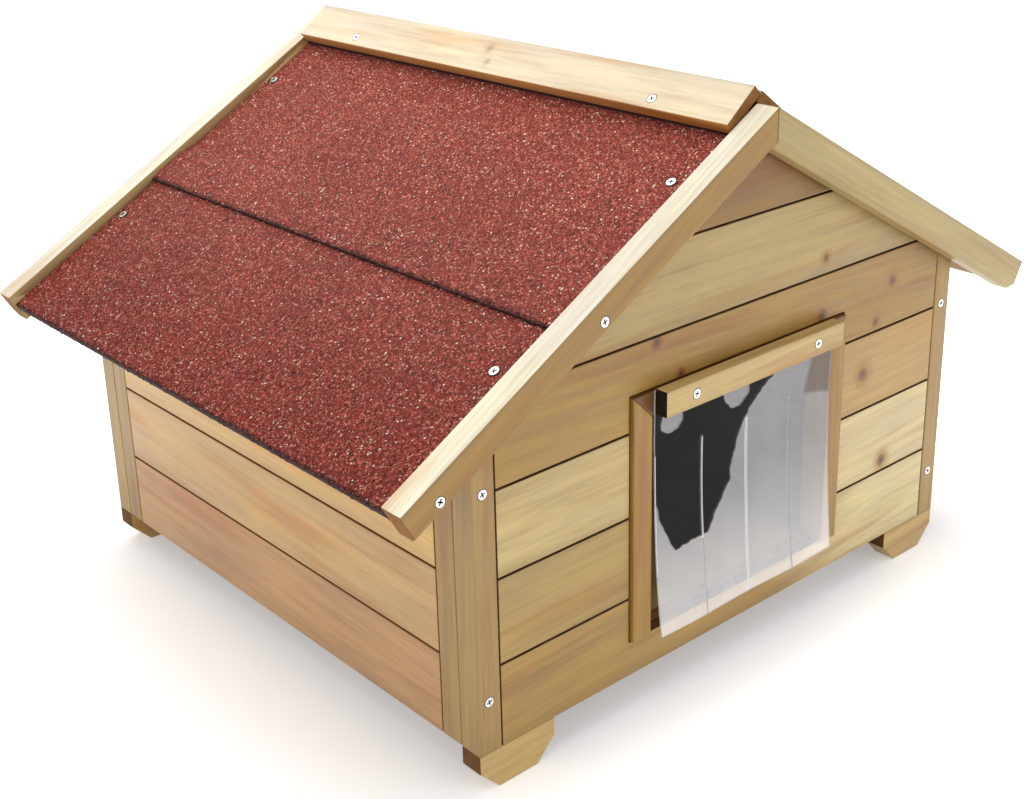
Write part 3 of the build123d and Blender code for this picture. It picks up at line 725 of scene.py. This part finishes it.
class SHELTER_OT_feet_and_floor(bpy.types.Operator):
    """Dress the four feet, the bearers and the floor panel"""
    bl_idname = "shelter.feet_and_floor"
    bl_label = "Feet and floor"

    def execute(self, context):
        dress_wood("feet", X, Z, "#c8a96c", ends="#63421f")
        dress_wood("floor_bearers", Y, X, "#a98a5a")
        materials = [finish_of("sanded_plywood", sanded_plywood), finish_of("cut_bitumen", cut_bitumen)]
        for node, side in (("floor_panel", 0), ("roof_deck_left", -1), ("roof_deck_right", 1)):
            shape = cad_shape(node)
            shape.normal_update()
            for face in shape.faces:
                # The deck's face at the eaves takes the felt's dark bitumen.
                face.material_index = 1 if side and face.normal.dot(slope_down(side)) > 0.9 else 0
            add_piece("sheet_" + node, shape, materials, [node])
        return {"FINISHED"}


class SHELTER_OT_roof_trim(bpy.types.Operator):
    """Dress the barge boards and the two ridge boards"""
    bl_idname = "shelter.roof_trim"
    bl_label = "Barge and ridge boards"

    def execute(self, context):
        for side, side_name in ((-1, "left"), (1, "right")):
            glazes = {"front": "#9d7736" if side < 0 else "#baa36e", "rear": "#b8a070"}
            for facing, glaze in glazes.items():
                # Faces that face the sky take the pale top colour, painted light on the barge and ridge boards.
                dress_wood(f"barge_{facing}_{side_name}", slope_down(side), slope_up(side), glaze, top="#e6dcc8")
            _, _, _, lean = RIDGE_BOARDS[side_name]
            across = Vector((-side * cos(lean), 0, sin(lean)))
            knots = RIDGE_KNOTS if side < 0 else ()
            dress_wood(f"ridge_board_{side_name}", Y, across, "#a8763c", top="#d0bea2", knots=knots)
        return {"FINISHED"}


def screw_template(length):
    """Countersunk screw along Z with a cross recess, its head's top at the origin."""
    profile = (*SCREW_HEAD, (SCREW_RADIUS, SCREW_TIP_LENGTH - length), (SCREW_TIP_RADIUS, -length))
    shape = bmesh.new()
    bmesh.ops.create_circle(shape, cap_ends=True, segments=28, radius=profile[0][0])
    for axis in (X, Y):
        for offset in (-RECESS_HALF_SPAN, -RECESS_HALF_WIDTH, RECESS_HALF_WIDTH, RECESS_HALF_SPAN):
            geometry = shape.verts[:] + shape.edges[:] + shape.faces[:]
            bmesh.ops.bisect_plane(shape, geom=geometry, dist=1e-7, plane_co=axis * offset, plane_no=axis)
    arms = []
    for face in shape.faces:
        centre = face.calc_center_median()
        low, high = sorted((abs(centre.x), abs(centre.y)))
        if low < RECESS_HALF_WIDTH and high < RECESS_HALF_SPAN:
            arms.append(face)
    rim = [e for e in shape.edges if e.is_boundary]
    sunk = bmesh.ops.extrude_face_region(shape, geom=arms)
    floor = [g for g in sunk["geom"] if isinstance(g, bmesh.types.BMVert)]
    bmesh.ops.scale(shape, verts=floor, vec=(RECESS_TAPER, RECESS_TAPER, 1))
    bmesh.ops.translate(shape, verts=floor, vec=(0, 0, -RECESS_DEPTH))
    bmesh.ops.delete(shape, geom=[f for f in arms if f.is_valid], context="FACES")
    radius, depth = profile[0]
    for next_radius, next_depth in profile[1:]:
        grown = bmesh.ops.extrude_edge_only(shape, edges=rim)
        ring = [g for g in grown["geom"] if isinstance(g, bmesh.types.BMVert)]
        rim = [g for g in grown["geom"] if isinstance(g, bmesh.types.BMEdge) and all(v in ring for v in g.verts)]
        share = next_radius / radius
        bmesh.ops.scale(shape, verts=ring, vec=(share, share, 1))
        bmesh.ops.translate(shape, verts=ring, vec=(0, 0, next_depth - depth))
        radius, depth = next_radius, next_depth
    bmesh.ops.contextual_create(shape, geom=rim)
    bmesh.ops.recalc_face_normals(shape, faces=shape.faces)
    for face in shape.faces:
        centre = face.calc_center_median()
        # Painted shade on the faces in the cross recess and on the sloped rim of the head.
        out = hypot(centre.x, centre.y)
        in_recess = out < 0.0019 and -0.002 < centre.z < -0.0002
        on_rim = out > 0.0034 and centre.z < -0.0001
        face.material_index = 1 if in_recess or on_rim else 0
    template = bpy.data.meshes.new("screw_template")
    shape.to_mesh(template)
    shape.free()
    return template


def add_screws(name, node, length, places):
    """Sets one screw at each place, a point and the way its head faces, each turned its own way."""
    template = screw_template(length)
    shape = bmesh.new()
    chance = random.Random(name)
    for point, facing in places:
        known = len(shape.verts)
        shape.from_mesh(template)
        shape.verts.ensure_lookup_table()
        turn = Matrix.Rotation(chance.uniform(0, pi / 2), 4, "Z")
        place = Matrix.Translation(point) @ Vector(facing).to_track_quat("Z", "Y").to_matrix().to_4x4() @ turn
        bmesh.ops.transform(shape, matrix=place, verts=shape.verts[known:])
    bpy.data.meshes.remove(template)
    materials = [finish_of("bright_zinc", bright_zinc), finish_of("painted_recess_and_rim_shade", painted_recess_and_rim_shade)]
    return add_piece(name, shape, materials, [node])


def roof_screw_points():
    """Places of the screws on the felt."""
    return [
        (slope_point(side, run, FELT_LIFT) + Y * y, slope_up(side))
        for side in (-1, 1) for run in ROOF_SCREW_RUNS for y in ROOF_SCREW_YS
    ]


class SHELTER_OT_screws(bpy.types.Operator):
    """Set the cross-recessed screws"""
    bl_idname = "shelter.screws"
    bl_label = "Screws"

    def execute(self, context):
        stile_x = HALF_WIDTH - STILE_HALF_THICKNESS
        corners = [(side * stile_x, facing) for side in (-1, 1) for facing in (-1, 1)]
        long_places = roof_screw_points()
        for x, facing in corners:
            for height in WALL_SCREW_HEIGHTS:
                long_places.append((Vector((x, facing * HALF_DEPTH, FOOT_HEIGHT + height)), Y * facing))
            stile_y = facing * (HALF_DEPTH - STILE_HALF_THICKNESS)
            long_places.append((Vector((x, stile_y, FOOT_SCREW_Z)), -Z))
        for side, facing in ((-1, -1), (-1, 1), (1, 1)):
            for run in BARGE_SCREW_RUNS:
                point = slope_point(side, run, BARGE_SCREW_LIFT) + Y * facing * BARGE_FACE_Y
                long_places.append((point, Y * facing))
        add_screws("countersunk_long_screws", "long_screws", LONG_SCREW, long_places)

        batten_middle = sum(BATTEN_Z) / 2
        short_places = [
            (Vector((x, BATTEN_FACE_Y, batten_middle)), -Y) for x in (-BATTEN_SCREW_X, BATTEN_SCREW_X)
        ]
        for side, foot_x, foot_z, lean in RIDGE_BOARDS.values():
            along = Vector((-side * cos(lean), 0, sin(lean)))
            up = Vector((side * sin(lean), 0, cos(lean)))
            point = Vector((foot_x, 0, foot_z)) + along * RIDGE_SCREW_EDGE + up * RIDGE_BOARD_THICKNESS
            short_places += [(point + Y * y, up) for y in (-RIDGE_SCREW_Y, RIDGE_SCREW_Y)]
        add_screws("countersunk_short_screws", "short_screws", SHORT_SCREW, short_places)
        return {"FINISHED"}


def lap_lift(run, course):
    """Lift of a course's upper face at a run: the upper course climbs over the lower one."""
    if course == "lower":
        return FELT_LIFT
    start, end = FELT_STEP_RUNS
    share = min(max((run - start) / (end - start), 0), 1)
    return FELT_LIFT + (FELT_LAP_LIFT - FELT_LIFT) * share


def gridded_slab(cuts):
    """Unit cube with its faces cut into a grid, so many cuts along each of two axes."""
    shape = bmesh.new()
    bmesh.ops.create_cube(shape, size=1)
    for axis, count in cuts:
        lines = [e for e in shape.edges if abs((e.verts[0].co - e.verts[1].co)[axis]) > 1e-6]
        bmesh.ops.subdivide_edges(shape, edges=lines, cuts=count, use_grid_fill=True)
    return shape


def felt_course(side, side_name, course):
    """One course of felt: a thin slab with an uneven face, a ragged cut edge and hollows pressed by the screws."""
    settings = bpy.context.scene.shelter_felt
    start, end = FELT_RUNS[course]
    length = 2 * FELT_HALF_LENGTH
    shape = gridded_slab([
        (axis, int(size / settings.cell_size)) for axis, size in ((0, end - start), (1, length))
    ])
    up = slope_up(side)
    screws = [point for point, _ in roof_screw_points() if point.x * side > 0]
    lower_edge_shade = []
    for vertex in shape.verts:
        share, y, top = vertex.co.x + 0.5, vertex.co.y * length, vertex.co.z > 0
        run = start + share * (end - start)
        at = Vector((run, y, side)) * 260
        if share > 0.999:
            run += (noise.noise(at * 1.7) - 0.5) * RAGGED_CUT
        lift = lap_lift(run, course) - (0 if top else FELT_THICKNESS)
        if top:
            lift += noise.noise(at) * settings.roughness - settings.roughness * 0.4
            if share > 0.985:
                lift -= PRESSED_EDGE
        elif course == "lower" and share > 0.999:
            lift -= EAVE_DROOP
        point = slope_point(side, run, lift) + Y * y
        near = min((point - screw).length for screw in screws)
        if top and near < SCREW_HOLLOW_RADIUS:
            point -= up * SCREW_HOLLOW_DEPTH * (1 - near / SCREW_HOLLOW_RADIUS) ** 0.5
        vertex.co = point
        # Share of painted shade, 1 at the course's lower edge and 0 from EDGE_SHADE_RUN up.
        lower_edge_shade.append(max(1.0 - (end - run) / EDGE_SHADE_RUN, 0.0))
    shape.normal_update()
    bmesh.ops.recalc_face_normals(shape, faces=shape.faces)
    for face in shape.faces:
        face.material_index = 0 if face.normal.dot(up) > 0.4 else 1
        face.smooth = True
    for edge in shape.edges:
        if len(edge.link_faces) == 2 and edge.link_faces[0].material_index != edge.link_faces[1].material_index:
            edge.smooth = False
    node = f"felt_{side_name}_{course}"
    piece = add_piece("granule_" + node, shape, felt_materials(), [node])
    piece.data.attributes.new("edge", "FLOAT", "POINT").data.foreach_set("value", lower_edge_shade)


def felt_materials():
    """Granules above, bitumen on the cut edges and below."""
    felt = finish_of("mineral_felt", mineral_felt, bpy.context.scene.shelter_felt)
    return [felt, finish_of("cut_bitumen", cut_bitumen)]


class SHELTER_OT_felt(bpy.types.Operator):
    """Lay the two courses of felt on each slope and the strip under the ridge boards"""
    bl_idname = "shelter.felt"
    bl_label = "Roofing felt"

    def execute(self, context):
        for side, side_name in ((-1, "left"), (1, "right")):
            for course in FELT_RUNS:
                felt_course(side, side_name, course)
        shape = cad_shape("felt_ridge")
        shape.normal_update()
        for face in shape.faces:
            face.material_index = 0 if face.normal.z > 0.6 else 1
        add_piece("granule_felt_ridge", shape, felt_materials(), ["felt_ridge"])
        return {"FINISHED"}


def clear_sheet(name, node, x_from, x_to, z_from, z_to, body, joint_side):
    """One part of the clear sheet, hanging in its curl, with white cut edges and nothing on the face that the
    band and the strips share: the upper one with joint_side 1, the lower one with -1."""
    settings = bpy.context.scene.shelter_flap
    shape = gridded_slab([
        (axis, max(int(size / step), 1)) for axis, size, step in ((0, x_to - x_from, 0.006), (2, z_to - z_from, 0.004))
    ])
    shape.normal_update()
    for face in shape.faces:
        if abs(face.normal.y) > 0.5:
            face.material_index, face.smooth = 0, True
        elif face.normal.z * joint_side > 0.5:
            face.material_index = 2
        else:
            face.material_index = 1
    for edge in shape.edges:
        if len(edge.link_faces) == 2 and edge.link_faces[0].normal.dot(edge.link_faces[1].normal) < 0.5:
            edge.smooth = False
    sheet = []
    for vertex in shape.verts:
        x = x_from + (vertex.co.x + 0.5) * (x_to - x_from)
        z = z_from + (vertex.co.z + 0.5) * (z_to - z_from)
        sheet += [x, 0, z]
        drop = max(HINGE_Z - z, 0)
        turn = drop / STRIP_CURL_RADIUS
        radius = STRIP_CURL_RADIUS + vertex.co.y * SHEET_THICKNESS
        y = HINGE_Y - STRIP_CURL_RADIUS + radius * cos(turn)
        if drop > 0:
            z = HINGE_Z - radius * sin(turn)
            y -= 0.0006 * sin(drop * 38 + x * 60) * drop / STRIP_LENGTH
        vertex.co = (x, y, z)
    bmesh.ops.recalc_face_normals(shape, faces=shape.faces)
    materials = [
        finish_of("clear_pvc", clear_pvc, settings), finish_of("cut_pvc_edge", cut_pvc_edge),
        finish_of("uncut_pvc", uncut_pvc),
    ]
    piece = add_piece(name, shape, materials, [node], body=body)
    piece.data.attributes.new("sheet", "FLOAT_VECTOR", "POINT").data.foreach_set("vector", sheet)
    return piece


class SHELTER_OT_flap(bpy.types.Operator):
    """Hang the clear flap: the clamped band and its four strips"""
    bl_idname = "shelter.flap"
    bl_label = "Clear flap"

    def execute(self, context):
        edge = 2 * STRIP_PITCH
        clear_sheet("clear_band", "flap_band", -edge, edge, BAND_BOTTOM_Z, BAND_TOP_Z, SHELTER, -1)
        for number in range(1, 5):
            left = -edge + (number - 1) * STRIP_PITCH
            strip = clear_sheet(
                f"clear_strip_{number}", f"flap_strip_{number}", left + SLIT_WIDTH / 2,
                left + STRIP_PITCH - SLIT_WIDTH / 2, HINGE_Z - STRIP_LENGTH, BAND_BOTTOM_Z - BAND_TO_STRIP_GAP,
                None, 1)
            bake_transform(strip)
        return {"FINISHED"}


LAMPS = (
    # name, place, width and height, radiance as a part of white
    ("overhead_softbox", (-0.2, 0.15, 2.0), (1.8, 1.8), 1.9),
    ("rear_softbox", (0.2, 1.9, 1.75), (2.0, 1.0), 2.4),
    ("left_softbox", (-2.2, -0.3, 0.9), (1.4, 1.4), 1.5),
    ("front_softbox", (0.6, -2.4, 1.0), (1.6, 1.6), 1.1),
)
WORLD_LEVEL = 0.55


class SHELTER_OT_stage(bpy.types.Operator):
    """Set up the floor, the lamps, the world and the camera"""
    bl_idname = "shelter.stage"
    bl_label = "Floor, lamps and camera"

    def execute(self, context):
        settings = context.scene.shelter_stage
        shape = bmesh.new()
        bmesh.ops.create_grid(shape, x_segments=8, y_segments=8, size=9)
        mesh = bpy.data.meshes.new("floor")
        shape.to_mesh(mesh)
        shape.free()
        mesh.materials.append(seamless_floor("seamless_floor", settings))
        floor = bpy.data.objects.new("floor", mesh)
        context.scene.collection.objects.link(floor)

        target = Vector((0, 0, 0.18))
        for name, place, (width, height), radiance in LAMPS:
            lamp = bpy.data.lights.new(name, "AREA")
            lamp.shape, lamp.size, lamp.size_y = "RECTANGLE", width, height
            lamp.energy = radiance * settings.lamp_level * pi * width * height
            holder = bpy.data.objects.new(name, lamp)
            holder.location = place
            holder.rotation_euler = (target - Vector(place)).to_track_quat("-Z", "Y").to_euler()
            context.scene.collection.objects.link(holder)

        world = bpy.data.worlds.new("studio")
        world.use_nodes = True
        background = world.node_tree.nodes["Background"]
        tree = world.node_tree
        level = WORLD_LEVEL * settings.lamp_level
        strength = add_node(tree, "mix numbers", seen_by_camera(tree), level, 1.0)
        fill(tree, background, {"Color": (1, 1, 1, 1), "Strength": strength})
        context.scene.world = world

        # The camera stands where the photograph was taken from.
        yaw, down, roll = CAMERA_YAW, CAMERA_DOWN, CAMERA_ROLL
        forward = Vector((sin(yaw) * cos(down), cos(yaw) * cos(down), -sin(down)))
        level = Vector((cos(yaw), -sin(yaw), 0))
        upward = level.cross(forward)
        right = level * cos(roll) + upward * sin(roll)
        up = upward * cos(roll) - level * sin(roll)
        camera = bpy.data.cameras.new("camera")
        camera.sensor_width, camera.lens = SENSOR_WIDTH, FOCAL_PIXELS / PICTURE_PIXELS * SENSOR_WIDTH
        camera.shift_x, camera.shift_y = CAMERA_SHIFT
        holder = bpy.data.objects.new("camera", camera)
        axes = Matrix((right, up, -forward)).transposed().to_4x4()
        holder.matrix_world = Matrix.Translation(CAMERA_PLACE) @ axes
        context.scene.collection.objects.link(holder)
        context.scene.camera = holder
        context.scene.view_settings.view_transform = "Standard"
        return {"FINISHED"}


SETTINGS = {
    "shelter_wood": ShelterWoodSettings, "shelter_felt": ShelterFeltSettings, "shelter_flap": ShelterFlapSettings,
    "shelter_stage": ShelterStageSettings,
}
OPERATORS = (
    SHELTER_OT_wall_boards, SHELTER_OT_frame_stock, SHELTER_OT_feet_and_floor, SHELTER_OT_roof_trim,
    SHELTER_OT_screws, SHELTER_OT_felt, SHELTER_OT_flap, SHELTER_OT_stage,
)


class SHELTER_PT_panel(bpy.types.Panel):
    """Settings and steps of the cat shelter"""
    bl_label = "Cat shelter"
    bl_idname = "SHELTER_PT_panel"
    bl_space_type = "VIEW_3D"
    bl_region_type = "UI"
    bl_category = "Cat Shelter"

    def draw(self, context):
        for name, group in SETTINGS.items():
            box = self.layout.box()
            for setting in group.__annotations__:
                box.prop(getattr(context.scene, name), setting)
        for operator in OPERATORS:
            self.layout.operator(operator.bl_idname)


def register():
    for group in (*SETTINGS.values(), *OPERATORS, SHELTER_PT_panel):
        bpy.utils.register_class(group)
    for name, group in SETTINGS.items():
        setattr(bpy.types.Scene, name, bpy.props.PointerProperty(type=group))


def unregister():
    for name in SETTINGS:
        delattr(bpy.types.Scene, name)
    for group in (SHELTER_PT_panel, *reversed(OPERATORS), *reversed(SETTINGS.values())):
        bpy.utils.unregister_class(group)


def main():
    """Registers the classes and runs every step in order."""
    register()
    for operator in OPERATORS:
        group, name = operator.bl_idname.split(".")
        getattr(getattr(bpy.ops, group), name)()


if __name__ == "__main__":
    main()
